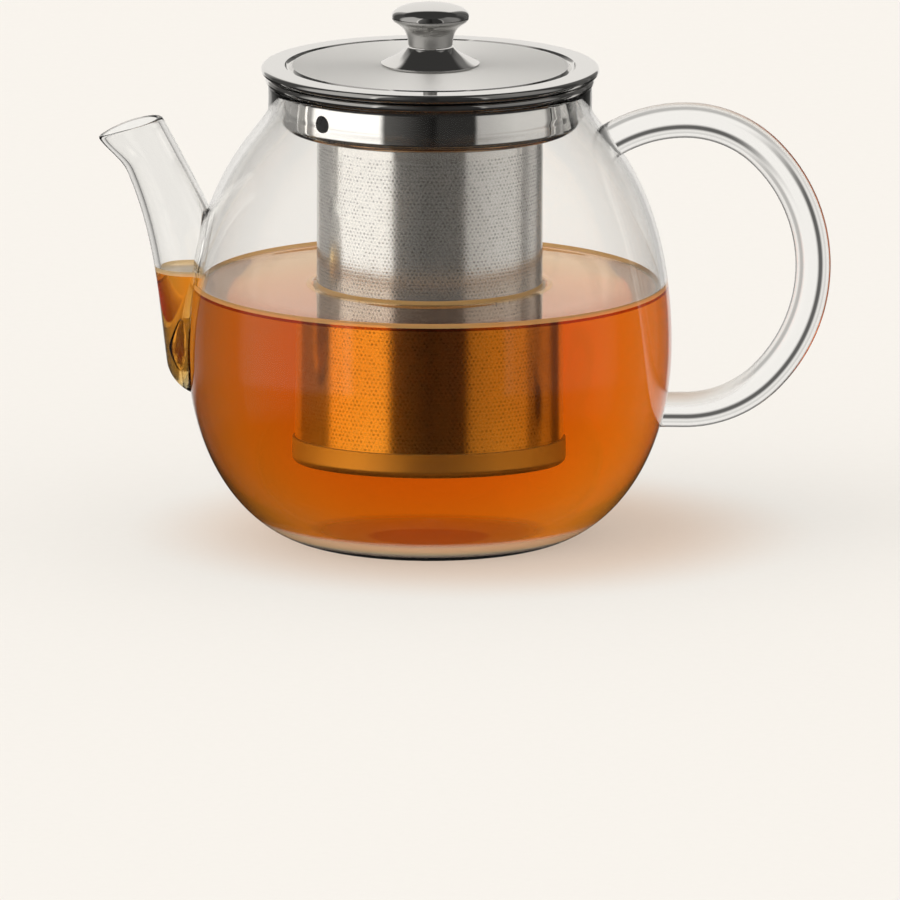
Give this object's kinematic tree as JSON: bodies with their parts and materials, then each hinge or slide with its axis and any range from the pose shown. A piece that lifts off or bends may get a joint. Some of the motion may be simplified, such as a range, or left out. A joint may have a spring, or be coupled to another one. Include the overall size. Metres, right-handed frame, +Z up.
{
  "type": "glass teapot",
  "caption": "Round clear glass teapot with a glass spout and loop handle, a hanging steel infuser basket and a loose steel lid with a knob.",
  "frame": {"origin": "centre of the foot's flat underside, on the pot's axis", "axes": "+X towards the handle and -X towards the spout, +Y to the back as the pot is seen with its spout on the left, +Z up along the pot's axis"},
  "size_m": [0.2042, 0.135, 0.1514],
  "materials": {
    "clear_glass": "clear, smooth borosilicate glass",
    "polished_steel": "mirror polished stainless steel",
    "satin_steel": "finely spun satin stainless steel",
    "filter_steel": "satin stainless steel with fine etched filter holes",
    "tea": "clear amber liquid"
  },
  "bodies": {
    "pot": {"glass_body": "clear_glass", "spout": "clear_glass", "handle": "clear_glass"},
    "infuser": {"infuser_collar": "polished_steel", "infuser_sleeve": "filter_steel", "infuser_base": "filter_steel", "infuser_band": "polished_steel"},
    "lid": {"lid_disc": "satin_steel", "lid_skirt": "satin_steel", "knob_ferrule": "polished_steel", "lid_knob": "polished_steel", "knob_washer": "satin_steel", "knob_screw": "satin_steel"}
  },
  "joints": [
    {"name": "infuser_lift", "type": "slide", "parent": "pot", "child": "infuser", "axis": [0, 0, 1], "range_m": [0, 0.12]},
    {"name": "lid_lift", "type": "slide", "parent": "infuser", "child": "lid", "axis": [0, 0, 1], "range_m": [0, 0.035]}
  ]
}
